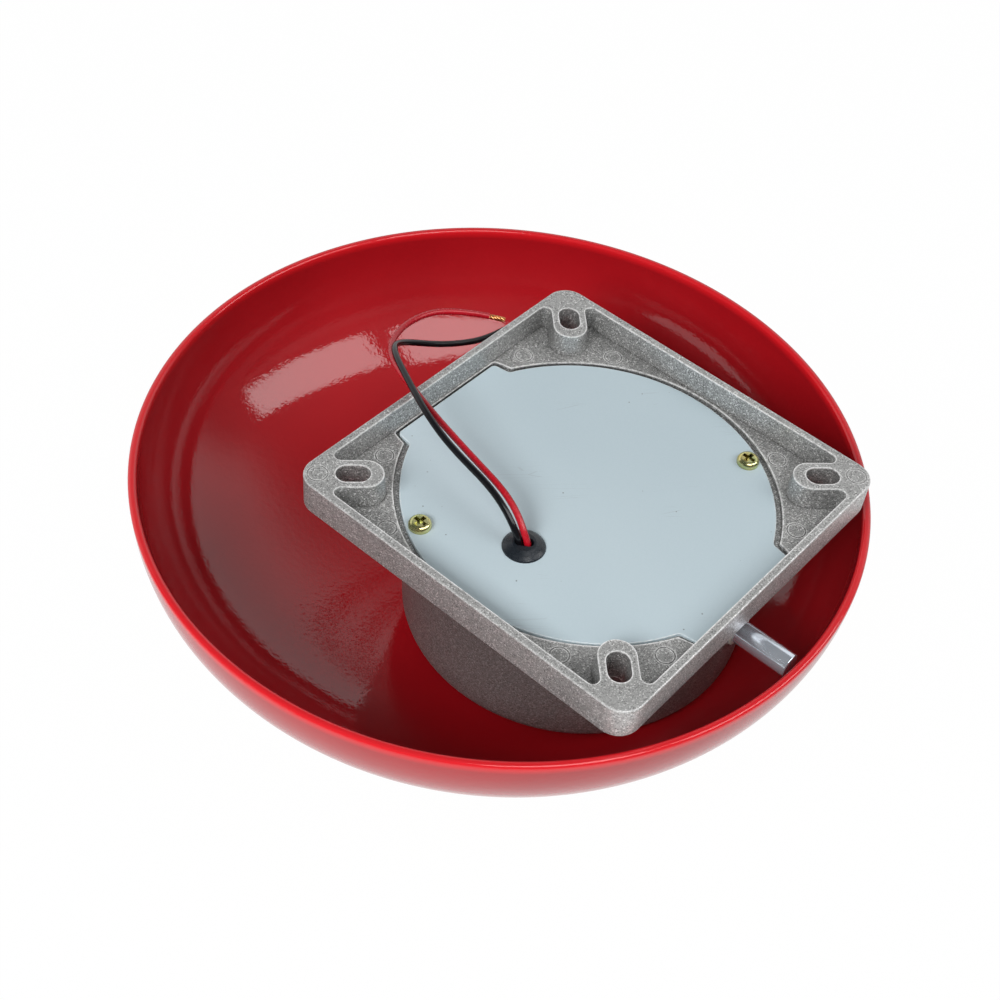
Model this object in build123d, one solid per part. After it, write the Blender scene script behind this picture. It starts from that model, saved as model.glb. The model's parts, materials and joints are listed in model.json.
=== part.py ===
from build123d import *
import math
import os

# Fire alarm bell with its striker drive, in mm.
# Local frame: X is the striker's direction, Y is across it, and the flange's sides lie along both.
# z = 0 is the mounting face, +Z points out of it towards the wall, and the gong hangs below.
# Every piece is turned on saving, so that the flange's diagonals and slots lie along X and Y.
TURN = -45.0

os.makedirs("parts", exist_ok=True)

# ---- dimensions shared between pieces ----
WEB_Z = -6.8                    # floor of the flange pocket
RECESS_Z = -8.0                 # ledge the cover lies on
TAB_HALF = 19.3                 # half length of the cover's straight tabs
COVER_T = 1.0
COVER_TOP = RECESS_Z + COVER_T
COVER_SCREWS = [(23.2, 39.5), (-23.2, -39.5)]
GROMMET_X, GROMMET_Y = 0.0, -26.0

GONG_X = -28.7                  # gong axis
GONG_RIM_Z = -13.4
GONG_H = 50.0
GONG_T = 2.3
GONG_OUT_Z = GONG_RIM_Z - GONG_H
GONG_IN_Z = GONG_OUT_Z + GONG_T
GONG_POST_Z = -60.2             # end of the housing's gong post

STRIKER_Z = -19.0
STRIKER_R = 3.2
BUSH_R = 4.2
CLIP_X = 30.1                   # groove in the striker rod
CLIP_GROOVE_W = 0.8
CLIP_GROOVE_R = 2.2

MODULE = 0.6
PINION_TEETH = 12
GEAR_TEETH = 60
GEAR_X = 5.0
MOTOR_X = GEAR_X - MODULE * (PINION_TEETH + GEAR_TEETH) / 2
SHAFT_R = 1.0
PLATE_TOP = -25.5
PLATE_BOT = -27.0
PLATE_CUT = (-30, -20)          # z range that clears the plate and the bracket foot
PLATE_POSTS = [(-30, 18), (-30, -18), (30, 18), (30, -18)]
MOTOR_SCREWS = [(MOTOR_X, -8), (MOTOR_X, 8)]
BRACKET_SCREWS = [(31.8, -6.6), (31.8, 6.6)]

BOARD_POSTS = [(-13.5, -33.0), (13.5, -33.0)]
BOARD_BOT = -19.0
BOARD_TOP = -17.4

SIDES = (1, -1)
TOP, BOTTOM = -1, 0             # last and first edge group along an axis


# ------------------------------------------------------------------ helpers
def save(name, shape):
    items = shape if isinstance(shape, (list, tuple)) else [shape]
    turned = [s.rotate(Axis.Z, TURN) for item in items for s in item.solids()]
    piece = turned[0] if len(turned) == 1 else Compound(children=turned)
    piece.label = name
    export_step(piece, f"parts/{name}.step")


def cyl(radius, z0, z1, x=0.0, y=0.0):
    align = (Align.CENTER, Align.CENTER, Align.MIN)
    return Pos(x, y, min(z0, z1)) * Cylinder(radius, abs(z1 - z0), align=align)


def ring(outer, inner, z0, z1, x=0.0, y=0.0):
    return cyl(outer, z0, z1, x, y) - cyl(inner, min(z0, z1) - 1, max(z0, z1) + 1, x, y)


def block(x0, x1, y0, y1, z0, z1):
    centre = Pos((x0 + x1) / 2, (y0 + y1) / 2, (z0 + z1) / 2)
    return centre * Box(abs(x1 - x0), abs(y1 - y0), abs(z1 - z0))


def xcyl(radius, x0, x1, y=0.0, z=STRIKER_Z):
    # cylinder along X
    return Pos((x0 + x1) / 2, y, z) * Rot(0, 90, 0) * Cylinder(radius, abs(x1 - x0))


def xring(outer, inner, x0, x1):
    return xcyl(outer, x0, x1) - xcyl(inner, min(x0, x1) - 1, max(x0, x1) + 1)


def prism(face, z0, z1):
    return extrude(Pos(0, 0, min(z0, z1)) * face, amount=abs(z1 - z0), dir=(0, 0, 1))


def polygon(*points):
    return make_face(Polyline(*points, close=True))


def drill(shape, radius, z0, z1, places):
    for x, y in places:
        shape -= cyl(radius, z0, z1, x, y)
    return shape


def soften(shape, edges, radius):
    # guards against a fillet the kernel cannot build: the edges then stay sharp
    try:
        return fillet(edges, radius)
    except Exception:
        return shape


def soften_end(shape, radius, end=TOP, axis=Axis.Z):
    return soften(shape, shape.edges().group_by(axis)[end], radius)


def pan_screws(shank_r, length, head_r, head_h, places, z):
    # heads above z with a cross recess, shanks below
    screw = soften_end(cyl(head_r, 0, head_h), head_h * 0.62)
    screw += cyl(shank_r, -length, 0.1)
    screw = soften_end(screw, shank_r * 0.35, BOTTOM)
    long, short, depth = head_r * 1.2, head_r * 0.36, head_h * 0.6
    recess = Pos(0, 0, head_h - depth / 2 + 0.05)
    screw -= recess * Box(long, short, depth)
    screw -= recess * Box(short, long, depth)
    return [Pos(x, y, z) * screw for x, y in places]


def wire_along(path, radius, is_frenet=False):
    section = Plane(origin=path @ 0, z_dir=path % 0) * Circle(radius)
    return sweep(section, path=path, is_frenet=is_frenet)


def lead(points, radius, start_dir, end_dir):
    # the points are eased towards their neighbours until the sweep makes one sound solid
    points = list(points)
    for _ in range(5):
        path = Spline(*points, tangents=(start_dir, end_dir))
        wanted = math.pi * radius**2 * path.length
        for is_frenet in (False, True):
            # guards a sweep the kernel cannot build: the next frame or easing is tried
            try:
                wire = wire_along(path, radius, is_frenet)
                close = abs(wire.volume / wanted - 1) < 0.02
                if len(wire.solids()) == 1 and wire.is_valid and close:
                    return wire
            except Exception:
                pass
        eased = [
            tuple(0.08 * a + 0.84 * b + 0.08 * c for a, b, c in zip(*points[i - 1:i + 2]))
            for i in range(3, len(points) - 1)
        ]
        points = points[:3] + eased + [points[-1]]
    raise ValueError("wire sweep did not close")


def tab_outline(end_x, end_y, shoulder_x, shoulder_y, corner_r):
    # strip across the cover with slightly tapered, rounded ends
    half = [(end_x, end_y), (shoulder_x, shoulder_y), (-shoulder_x, shoulder_y), (-end_x, end_y)]
    outline = polygon(*half, *[(-x, -y) for x, y in half])
    return fillet([v for v in outline.vertices() if abs(v.X) > 50], corner_r)


# ------------------------------------------------------------------ housing
FLANGE = 108.0          # side of the square
FLANGE_R = 6.2
FLANGE_H = 10.0
RIM_IN = 51.8           # half width inside the rim at the mounting face
RECESS_R = 50.0
RECESS_SHIFT = 0.65     # stretch of the round recess towards two opposite corners
SLOT_ANGLES = (45, -45, 135, -135)
SLOT_R = 61.15          # slot centre from the flange centre
SLOT_LEN = 9.0
SLOT_W = 5.8
TONGUE_W = 9.5
TONGUE_R = 57.95        # centre of the tongue's round end
TONGUE_REACH = 40       # runs out past the pocket's corner
PIN_MARK_R = 2.6        # ejector pin marks
WEB_MARKS = [(46.6, 28.2), (28.4, 46.0)]
CORNER_MARK = 49.6
CUP_R_TOP = 48.6
CUP_R_BOT = 47.4
CUP_BOT = -50.0
CUP_FLOOR = -47.0
CUP_IN_R = 46.0
GUIDE_BOSS_R = 7.0


def flange_pocket():
    # square with a solid tongue left at each corner for the slot
    pocket = Rectangle(2 * RIM_IN, 2 * RIM_IN)
    for angle in SLOT_ANGLES:
        strip = Pos(TONGUE_R + TONGUE_REACH / 2, 0) * Rectangle(TONGUE_REACH, TONGUE_W)
        pocket -= Rot(0, 0, angle) * strip
        pocket -= Rot(0, 0, angle) * (Pos(TONGUE_R, 0) * Circle(TONGUE_W / 2))
    tips = [v for v in pocket.vertices() if max(abs(v.X), abs(v.Y)) > RIM_IN - 0.05]
    return extrude(fillet(tips, 1.8), amount=-WEB_Z, dir=(0, 0, -1), taper=5)


def housing_outside():
    flange = prism(RectangleRounded(FLANGE, FLANGE, FLANGE_R), -FLANGE_H, 0)
    flange = soften_end(flange, 0.35)
    flange = soften_end(flange, 0.6, BOTTOM)
    cup = loft([Pos(0, 0, -9.0) * Circle(CUP_R_TOP), Pos(0, 0, CUP_BOT) * Circle(CUP_R_BOT)])
    cup = soften_end(cup, 3.5, BOTTOM)
    gong_post = loft([
        Pos(GONG_X, 0, CUP_BOT + 1.5) * Circle(10.0),
        Pos(GONG_X, 0, GONG_POST_Z) * Circle(8.2),
    ])
    guide_boss = soften_end(xcyl(GUIDE_BOSS_R, 40.0, 50.4), 0.6, axis=Axis.X)
    return flange + cup + gong_post + guide_boss


def housing_cavity():
    cavity = soften_end(prism(Circle(CUP_IN_R), CUP_FLOOR, 1.0), 2.0, BOTTOM)
    posts = [cyl(4.2, -32.0, RECESS_Z, x, y) for x, y in COVER_SCREWS]
    posts += [cyl(3.5, CUP_FLOOR - 0.5, PLATE_BOT, x, y) for x, y in PLATE_POSTS]
    posts += [cyl(2.6, CUP_FLOOR - 0.5, BOARD_BOT, x, y) for x, y in BOARD_POSTS]
    kept = posts[0]
    for post in posts[1:]:
        kept += post
    return cavity - kept - xcyl(GUIDE_BOSS_R, 44.0, 48.0)


def housing():
    body = housing_outside() - flange_pocket()
    # cover recess: a stretched circle and the two straight tabs
    circles = [Pos(s * RECESS_SHIFT, s * RECESS_SHIFT) * Circle(RECESS_R) for s in SIDES]
    recess = make_hull([edge for circle in circles for edge in circle.edges()])
    body -= prism(recess, RECESS_Z, WEB_Z + 0.5)
    tabs = tab_outline(50.75, TAB_HALF + 0.9, 44.0, TAB_HALF + 2.6, 1.2)
    body -= prism(tabs, RECESS_Z, WEB_Z + 0.5)
    body -= housing_cavity()

    for angle in SLOT_ANGLES:
        slot = prism(SlotOverall(SLOT_LEN, SLOT_W), 0, 40)
        body -= Rot(0, 0, angle) * Pos(SLOT_R, 0, -20) * slot
    body = drill(body, 1.5, -26.0, RECESS_Z + 0.5, COVER_SCREWS)
    body = drill(body, 1.5, -38.0, PLATE_BOT + 0.5, PLATE_POSTS)
    body = drill(body, 1.25, -28.0, BOARD_BOT + 1, BOARD_POSTS)
    body -= xcyl(BUSH_R, 43.0, 52.0)
    body = drill(body, 3.0, -61.0, -49.4, [(GONG_X, 0)])

    # shallow rings on the web and on two opposite corners
    for x, y in WEB_MARKS:
        for sx in SIDES:
            for sy in SIDES:
                body -= ring(PIN_MARK_R, PIN_MARK_R - 0.4, WEB_Z - 0.2, WEB_Z + 0.5, sx * x, sy * y)
    for s in SIDES:
        place = s * CORNER_MARK
        body -= ring(PIN_MARK_R + 0.2, PIN_MARK_R - 0.2, -0.15, 0.5, place, place)
    return body.solids().sort_by(SortBy.VOLUME)[-1]


save("housing", housing())

# ------------------------------------------------------------------ cover and grommet
COVER_R = 49.3
LEAD_ANGLE = 35         # direction from one lead to the other in the grommet
GROOVE_R = 3.44


def back_cover():
    outline = Circle(COVER_R) + tab_outline(50.2, TAB_HALF, 44.4, TAB_HALF + 0.9, 1.3)
    # notches where the tabs leave the circle, rounded only if all four are found
    notches = [v for v in outline.vertices() if 43 < abs(v.X) < 49 and 17 < abs(v.Y) < 22]
    if len(notches) == 4:
        outline = fillet(notches, 1.6)
    cover = soften_end(prism(outline, RECESS_Z, COVER_TOP), 0.2)
    cover = drill(cover, 1.7, -10, -5, COVER_SCREWS)
    return drill(cover, 3.5, -10, -5, [(GROMMET_X, GROMMET_Y)])


def cable_grommet():
    # low dome over a groove, with an oval mouth for the two leads; columns are radius and z
    profile = polygon(
        (GROOVE_R, RECESS_Z), (5.0, RECESS_Z), (5.0, RECESS_Z - 1.3), (0.0, RECESS_Z - 1.3),
        (0.0, COVER_TOP + 1.9), (3.1, COVER_TOP + 1.75), (4.6, COVER_TOP + 1.15),
        (5.45, COVER_TOP + 0.45), (5.65, COVER_TOP + 0.1), (5.6, COVER_TOP),
        (GROOVE_R, COVER_TOP),
    )
    place = Pos(GROMMET_X, GROMMET_Y, 0)
    mouth = prism(Rot(0, 0, LEAD_ANGLE) * SlotOverall(5.1, 2.8), -12, 0)
    return place * revolve(Plane.XZ * profile, Axis.Z) - place * mouth


save("back_cover", back_cover())
save("cover_screws", pan_screws(1.45, 9.0, 3.0, 1.9, COVER_SCREWS, COVER_TOP))
save("cable_grommet", cable_grommet())

# ------------------------------------------------------------------ leads
LEAD_R = 0.9
LEAD_DX = math.cos(math.radians(LEAD_ANGLE)) * 1.1
LEAD_DY = math.sin(math.radians(LEAD_ANGLE)) * 1.1
RED_START = (GROMMET_X + LEAD_DX, GROMMET_Y + LEAD_DY)
BLACK_START = (GROMMET_X - LEAD_DX, GROMMET_Y - LEAD_DY)
LEAD_RISE = (-15.0, -10.5, -7.0)    # z of the straight run through the grommet
BLACK_END_DIR = (0.05, 1.0, -0.1)
RED_END_DIR = (0.75, 0.62, -0.2)

# x, y, z along each lead
BLACK_POINTS = [(*BLACK_START, z) for z in LEAD_RISE] + [
    (-2.35, -26.7, -3.3), (-6.1, -25.9, -0.1), (-13.79, -24.43, 3.01), (-22.48, -23.5, 4.74),
    (-31.07, -21.92, 5.6), (-39.29, -19.28, 6.0), (-47.28, -15.77, 5.9), (-55.16, -11.61, 5.25),
    (-62.93, -6.98, 3.95), (-68.58, -1.4, 1.4), (-69.54, 5.75, -2.8), (-67.47, 13.78, -7.01),
    (-65.01, 21.74, -10.0), (-63.02, 29.69, -11.91), (-62.2, 38.0, -13.0),
]
RED_POINTS = [(*RED_START, z) for z in LEAD_RISE] + [
    (-0.7, -25.2, -3.6), (-4.8, -23.6, -0.8), (-11.19, -21.93, 1.65), (-19.31, -20.37, 2.6),
    (-27.5, -18.8, 3.14), (-35.51, -17.05, 3.5), (-43.38, -15.01, 3.65), (-51.16, -12.55, 3.5),
    (-58.78, -9.51, 2.4), (-65.75, -5.55, 0.3), (-71.44, -0.25, -1.68), (-75.23, 6.76, -3.12),
    (-76.55, 15.03, -4.17), (-74.92, 22.95, -5.26), (-70.78, 29.72, -6.87), (-66.6, 36.1, -9.5),
]


def conductor(start, direction, length, radius):
    size = math.hypot(*direction)
    plane = Plane(origin=start, z_dir=tuple(c / size for c in direction))
    return plane * Cylinder(radius, length, align=(Align.CENTER, Align.CENTER, Align.MIN))


save("lead_black", lead(BLACK_POINTS, LEAD_R, (0, 0, 1), BLACK_END_DIR))
save("lead_red", lead(RED_POINTS, LEAD_R, (0, 0, 1), RED_END_DIR))
save("lead_conductors", [
    conductor(BLACK_POINTS[-1], BLACK_END_DIR, 5.0, 0.6),
    conductor(RED_POINTS[-1], RED_END_DIR, 5.0, 0.6),
    conductor(BLACK_POINTS[0], (0, 0, -1), 2.4, 0.45),
    conductor(RED_POINTS[0], (0, 0, -1), 2.4, 0.45),
])

# ------------------------------------------------------------------ gong
GONG_R = 100.0
GONG_FLAT = 14.0        # radius of the flat centre
GONG_POWER = 2.3        # super-ellipse exponent
GONG_BORE = 3.3
GONG_STEPS = 13


def dome_profile(offset):
    # (radius, z) from the flat centre to the rim, moved inwards along the normals by offset
    width = GONG_R - GONG_FLAT
    points = []
    for i in range(GONG_STEPS + 1):
        t = math.pi / 2 * i / GONG_STEPS
        radius = GONG_FLAT + width * math.sin(t) ** (2 / GONG_POWER)
        z = -GONG_H * max(0.0, math.cos(t)) ** (2 / GONG_POWER)
        normal_r = max(0.0, (radius - GONG_FLAT) / width) ** (GONG_POWER - 1) / width
        normal_z = -max(0.0, -z / GONG_H) ** (GONG_POWER - 1) / GONG_H
        size = math.hypot(normal_r, normal_z)
        points.append((radius - offset * normal_r / size,
                       GONG_RIM_Z + z - offset * normal_z / size))
    return spread(points)


def spread(points, gap=4.0):
    # drops points where the super-ellipse bunches them up
    kept = [points[0]]
    for p in points[1:-1]:
        if math.dist(p, kept[-1]) > gap and math.dist(p, points[-1]) > gap:
            kept.append(p)
    return kept + [points[-1]]


def gong():
    outer, inner = dome_profile(0.0), dome_profile(GONG_T)
    bore_in, bore_out = (GONG_BORE, inner[0][1]), (GONG_BORE, outer[0][1])
    with BuildSketch(Plane.XZ) as section:
        with BuildLine():
            Spline(*outer, tangents=((1, 0), (0, 1)))
            Line(outer[-1], inner[-1])
            Spline(*inner, tangents=((1, 0), (0, 1)))
            Line(inner[0], bore_in)
            Line(bore_in, bore_out)
            Line(bore_out, outer[0])
        make_face()
    # rounded rim
    return Pos(GONG_X, 0, 0) * soften_end(revolve(section.sketch, Axis.Z), 0.95)


save("gong", gong())

# ------------------------------------------------------------------ gong fixing
WASHER_BOT = GONG_OUT_Z - 1.4
SPRING_WASHER_BOT = WASHER_BOT - 1.4
BOLT_HEAD_BOT = SPRING_WASHER_BOT - 4.0
BOLT_BEVEL_Z = BOLT_HEAD_BOT + 0.8


def spring_washer():
    split = block(GONG_X - 0.3, GONG_X + 0.3, 2.0, 6.0, GONG_OUT_Z - 4, GONG_OUT_Z)
    return ring(5.2, 3.15, WASHER_BOT, SPRING_WASHER_BOT, GONG_X) - split


def gong_bolt():
    # hexagon head with bevelled corners
    head = prism(RegularPolygon(5.77, 6), BOLT_HEAD_BOT, SPRING_WASHER_BOT)
    bevel = loft([Pos(0, 0, BOLT_HEAD_BOT) * Circle(5.1), Pos(0, 0, BOLT_BEVEL_Z) * Circle(6.0)])
    head = head & (bevel + cyl(6.0, BOLT_BEVEL_Z, SPRING_WASHER_BOT))
    bolt = Pos(GONG_X, 0, 0) * head + cyl(2.95, SPRING_WASHER_BOT - 0.2, -51.0, GONG_X)
    return soften_end(bolt, 0.6)


save("gong_seat", ring(8.2, 3.1, GONG_POST_Z, GONG_IN_Z, GONG_X))
save("gong_washer", ring(9.0, 3.2, GONG_OUT_Z, WASHER_BOT, GONG_X))
save("spring_washer", spring_washer())
save("gong_bolt", gong_bolt())

# ------------------------------------------------------------------ striker
STRIKER_TIP = 66.9
STRIKER_TAIL = 15.25
OUTER_BUSH_X = 42.5     # face of the outer bush's collar
INNER_BUSH_X = 28.2     # face of the inner bush's collar
SPRING_WIRE_R = 0.25
SPRING_COIL_R = 3.8
SPRING_TURNS = 7
BRACKET_X = 26.0
BRACKET_HALF = 9.0
BRACKET_T = 1.2


def striker_rod():
    rod = soften_end(xcyl(STRIKER_R, STRIKER_TAIL, STRIKER_TIP), 0.35, axis=Axis.X)
    rod = soften_end(rod, 0.6, BOTTOM, Axis.X)
    return rod - xring(STRIKER_R + 1, CLIP_GROOVE_R, CLIP_X, CLIP_X + CLIP_GROOVE_W)


def striker_clip():
    clip = xring(5.0, CLIP_GROOVE_R, CLIP_X + 0.02, CLIP_X + CLIP_GROOVE_W - 0.02)
    return clip - block(CLIP_X - 1, CLIP_X + 2, -1.9, 1.9, STRIKER_Z, STRIKER_Z + 6)


def bush(x0, x1, collar_r, collar_x0, collar_x1):
    bore = STRIKER_R + 0.05
    return xring(BUSH_R, bore, x0, x1) + xring(collar_r, bore, collar_x0, collar_x1)


def return_spring():
    # round the striker, between the clip and the outer bush
    gap = SPRING_WIRE_R + 0.02
    start = CLIP_X + CLIP_GROOVE_W + gap
    length = OUTER_BUSH_X - gap - start
    spring = wire_along(Helix(length / SPRING_TURNS, length, SPRING_COIL_R), SPRING_WIRE_R)
    return Pos(start, 0, STRIKER_Z) * Rot(0, 90, 0) * spring


def striker_bracket():
    # foot on the plate and an upright carrying the inner bush
    foot_top = PLATE_TOP + BRACKET_T
    width = (-BRACKET_HALF, BRACKET_HALF)
    bracket = block(BRACKET_X, 35.0, *width, PLATE_TOP, foot_top)
    bracket += block(BRACKET_X, BRACKET_X + BRACKET_T, *width, PLATE_TOP, -12.5)
    upper_corners = bracket.edges().filter_by(Axis.X).group_by(Axis.Z)[-1]
    bracket = soften(bracket, upper_corners, 3.0)
    bracket -= xcyl(BUSH_R, 20, 40)
    return drill(bracket, 1.35, *PLATE_CUT, BRACKET_SCREWS)


save("striker_rod", striker_rod())
save("striker_clip", striker_clip())
save("outer_guide_bush", bush(43.9, 51.2, 5.6, OUTER_BUSH_X, 44.0))
save("inner_guide_bush", bush(25.6, 27.3, 5.15, 27.2, INNER_BUSH_X))
save("rubber_stop", xring(5.2, 3.45, INNER_BUSH_X, CLIP_X))
save("return_spring", return_spring())
save("striker_bracket", striker_bracket())
save("bracket_screws", pan_screws(1.2, 4.4, 2.2, 1.4, BRACKET_SCREWS, PLATE_TOP + BRACKET_T))


# ------------------------------------------------------------------ mechanism plate
def mechanism_plate():
    outline = polygon(
        (-36.5, 14), (-28, 24), (30, 24), (37.5, 16),
        (37.5, -16), (30, -24), (-28, -24), (-36.5, -14),
    )
    plate = prism(fillet(outline.vertices(), 2.5), PLATE_BOT, PLATE_TOP)
    plate = drill(plate, 1.7, *PLATE_CUT, PLATE_POSTS)
    plate = drill(plate, 3.1, *PLATE_CUT, [(MOTOR_X, 0)])
    plate = drill(plate, 1.35, *PLATE_CUT, MOTOR_SCREWS)
    plate = drill(plate, 1.25, *PLATE_CUT, BRACKET_SCREWS)
    plate = drill(plate, 1.5, *PLATE_CUT, [(GEAR_X, 0)])
    # lightening windows beside the gear axle
    for s in SIDES:
        plate -= Pos(GEAR_X + 9, s * 13, -27.5) * prism(RectangleRounded(14, 8, 2), 0, 4)
    return plate


save("mechanism_plate", mechanism_plate())
save("plate_screws", pan_screws(1.45, 9.0, 2.9, 1.8, PLATE_POSTS, PLATE_TOP))

# ------------------------------------------------------------------ motor, hung under the plate
CAN_R = 12.1
CAN_IN_R = CAN_R - 0.8
CAN_BOT = -42.5
CAP_BOT = -45.0
CAP_FLOOR = -44.2
TERMINAL_X = 4.3        # from the motor axis
TERMINAL_HALF = 0.18
TERMINAL_END_Y = -14.6


def motor_can():
    can = soften_end(cyl(CAN_R, PLATE_BOT, CAN_BOT, MOTOR_X), 0.8)
    can -= cyl(CAN_IN_R, PLATE_BOT - 1.0, CAP_BOT, MOTOR_X)
    can -= cyl(3.0, -30, -26, MOTOR_X)
    return drill(can, 1.25, -30, -26, MOTOR_SCREWS)


def motor_end_cap():
    cap = cyl(CAN_R, CAN_BOT, CAP_BOT, MOTOR_X) + cyl(3.4, CAP_BOT, CAP_BOT - 1.2, MOTOR_X)
    cap -= cyl(10.4, CAP_FLOOR, -42.0, MOTOR_X)
    cap -= cyl(2.0, -47, -43, MOTOR_X)
    for s in SIDES:
        x = MOTOR_X + s * TERMINAL_X
        cap -= block(x - 0.2, x + 0.2, -13, 0, CAP_FLOOR, -42.0)
    return cap


def motor_magnets():
    magnets = ring(CAN_IN_R, 9.5, -40.6, -28.6, MOTOR_X)
    sectors = block(-20, 20, 4.2, 20, -50, -20) + block(-20, 20, -20, -4.2, -50, -20)
    return (magnets & (Pos(MOTOR_X, 0, 0) * sectors)).solids()


def motor_terminal(s):
    x = MOTOR_X + s * TERMINAL_X
    return block(x - TERMINAL_HALF, x + TERMINAL_HALF, TERMINAL_END_Y, 1.6, -43.9, -42.6)


def motor_brush(s):
    outer = TERMINAL_X - TERMINAL_HALF
    return block(MOTOR_X + s * 2.26, MOTOR_X + s * outer, -0.9, 0.9, -43.8, -42.7)


save("motor_can", motor_can())
save("motor_end_cap", motor_end_cap())
save("motor_magnets", motor_magnets())
save("motor_bearings", [
    ring(3.0, SHAFT_R + 0.03, -28.6, PLATE_TOP, MOTOR_X),
    ring(2.0, SHAFT_R + 0.03, -46.1, -44.4, MOTOR_X),
])
save("motor_screws", pan_screws(1.2, 2.4, 2.1, 1.3, MOTOR_SCREWS, PLATE_TOP))
save("motor_terminals", [motor_terminal(s) for s in SIDES])
save("motor_brushes", [motor_brush(s) for s in SIDES])

# ------------------------------------------------------------------ rotor
CORE_Z = (-38.5, -30.5)
AT_MOTOR = Pos(MOTOR_X, 0, 0)
POLE_TURNS = [Rot(0, 0, 120 * k + 90) for k in range(3)]


def wedge(apex_x, far_x, far_half, z0, z1):
    # triangle opening towards +X
    return prism(polygon((apex_x, 0), (far_x, far_half), (far_x, -far_half)), z0, z1)


def armature_core():
    core = cyl(3.2, *CORE_Z, MOTOR_X)
    for turn in POLE_TURNS:
        core += AT_MOTOR * turn * block(0, 8.2, -1.7, 1.7, *CORE_Z)
        sector = turn * wedge(0, 20, 20 * math.tan(math.radians(50)), -39, -30)
        core += AT_MOTOR * (ring(8.9, 7.5, *CORE_Z) & sector)
    return core - cyl(SHAFT_R, -40, -29, MOTOR_X)


def armature_windings():
    coil = block(3.5, 7.3, -3.6, 3.6, -39.7, -29.3) - block(0, 9, -1.72, 1.72, *CORE_Z)
    sector = wedge(0.25, 12, 11.6 * math.tan(math.radians(58)), -41, -28)
    coil = coil & sector & cyl(7.4, -41, -28)
    return [AT_MOTOR * turn * coil for turn in POLE_TURNS]


def commutator():
    body = ring(2.2, SHAFT_R, -44.0, -39.9, MOTOR_X)
    for k in range(3):
        body -= AT_MOTOR * Rot(0, 0, 120 * k + 30) * block(1.8, 3, -0.12, 0.12, -45, -40.6)
    return body


save("motor_shaft", cyl(SHAFT_R, -45.9, -21.0, MOTOR_X))
save("armature_core", armature_core())
save("armature_windings", armature_windings())
save("commutator", commutator())

# ------------------------------------------------------------------ gears
BACKLASH = 0.07
ADDENDUM = 0.74         # shortened teeth, in modules
DEDENDUM = 1.02
AXLE_R = 1.5
AXLE_GROOVE_R = 1.15


def gear_face(teeth, phase=0.0):
    # involute teeth with a 20 degree pressure angle
    pressure = math.radians(20)
    pitch_r = teeth * MODULE / 2
    base_r = pitch_r * math.cos(pressure)
    tip_r = pitch_r + ADDENDUM * MODULE
    root_r = pitch_r - DEDENDUM * MODULE
    start_r = max(base_r, root_r)
    half_tooth = math.pi / (2 * teeth) - BACKLASH / (2 * pitch_r)

    def involute(angle):
        return math.tan(angle) - angle

    flank = []          # radius and half angle of the tooth there
    for j in range(5):
        r = start_r + (tip_r - start_r) * j / 4
        angle = math.acos(min(1.0, base_r / r))
        flank.append((r, half_tooth + involute(pressure) - involute(angle)))
    if root_r < base_r:
        flank = [(root_r, flank[0][1])] + flank
    points = []
    for i in range(teeth):
        mid = phase + 2 * math.pi * i / teeth
        points += [(r * math.cos(mid - w), r * math.sin(mid - w)) for r, w in flank]
        points += [(r * math.cos(mid + w), r * math.sin(mid + w)) for r, w in reversed(flank)]
    return polygon(*points)


def pinion():
    teeth = prism(gear_face(PINION_TEETH, math.pi / PINION_TEETH), -24.9, -21.8)
    return AT_MOTOR * teeth - cyl(SHAFT_R, -26, -20, MOTOR_X)


def cam_gear():
    gear = prism(gear_face(GEAR_TEETH), -24.5, -22.5)
    for k in range(5):
        gear -= Rot(0, 0, 72 * k + 20) * cyl(2.6, -26, -20, 12.6)
    gear += cyl(4.0, -24.9, -22.4)
    # cam with two opposite lobes
    circles = [Circle(6.6)] + [Pos(0, s * 8.3) * Circle(1.7) for s in SIDES]
    cam = make_hull([edge for circle in circles for edge in circle.edges()])
    gear += prism(cam, -22.6, -16.4)
    gear += cyl(3.6, -16.5, -15.9)
    gear -= cyl(AXLE_R + 0.04, -30, -10)
    return Pos(GEAR_X, 0, 0) * gear


def gear_axle():
    axle = cyl(AXLE_R, -27.6, -14.2, GEAR_X)
    axle -= ring(3.0, AXLE_GROOVE_R, -15.75, -15.05, GEAR_X)
    return soften_end(axle, 0.3)


def axle_clip():
    clip = ring(3.3, AXLE_GROOVE_R, -15.7, -15.1, GEAR_X)
    return clip - block(GEAR_X, GEAR_X + 5, -0.95, 0.95, -17, -14)


save("pinion", pinion())
save("cam_gear", cam_gear())
save("gear_axle", gear_axle())
save("gear_washer", ring(3.6, AXLE_R, PLATE_TOP, -25.0, GEAR_X))
save("axle_clip", axle_clip())

# ------------------------------------------------------------------ board
MOTOR_WIRE_X = 1.4
MOTOR_WIRE_Y = -36.5
DIODE_X = (3.0, 12.2)   # its two legs
DIODE_Y = -27.6
DIODE_Z = BOARD_TOP + 1.7
DIODE_LEG_R = 0.35


def circuit_board():
    board = prism(Pos(0, -31) * RectangleRounded(34, 15, 1.2), BOARD_BOT, BOARD_TOP)
    wire_holes = [(-MOTOR_WIRE_X, MOTOR_WIRE_Y), (MOTOR_WIRE_X, MOTOR_WIRE_Y)]
    for radius, places in (
        (1.35, BOARD_POSTS),
        (0.45, [RED_START, BLACK_START]),
        (0.75, wire_holes),
        (DIODE_LEG_R, [(x, DIODE_Y) for x in DIODE_X]),
    ):
        board = drill(board, radius, -20, -16, places)
    return board


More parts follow.
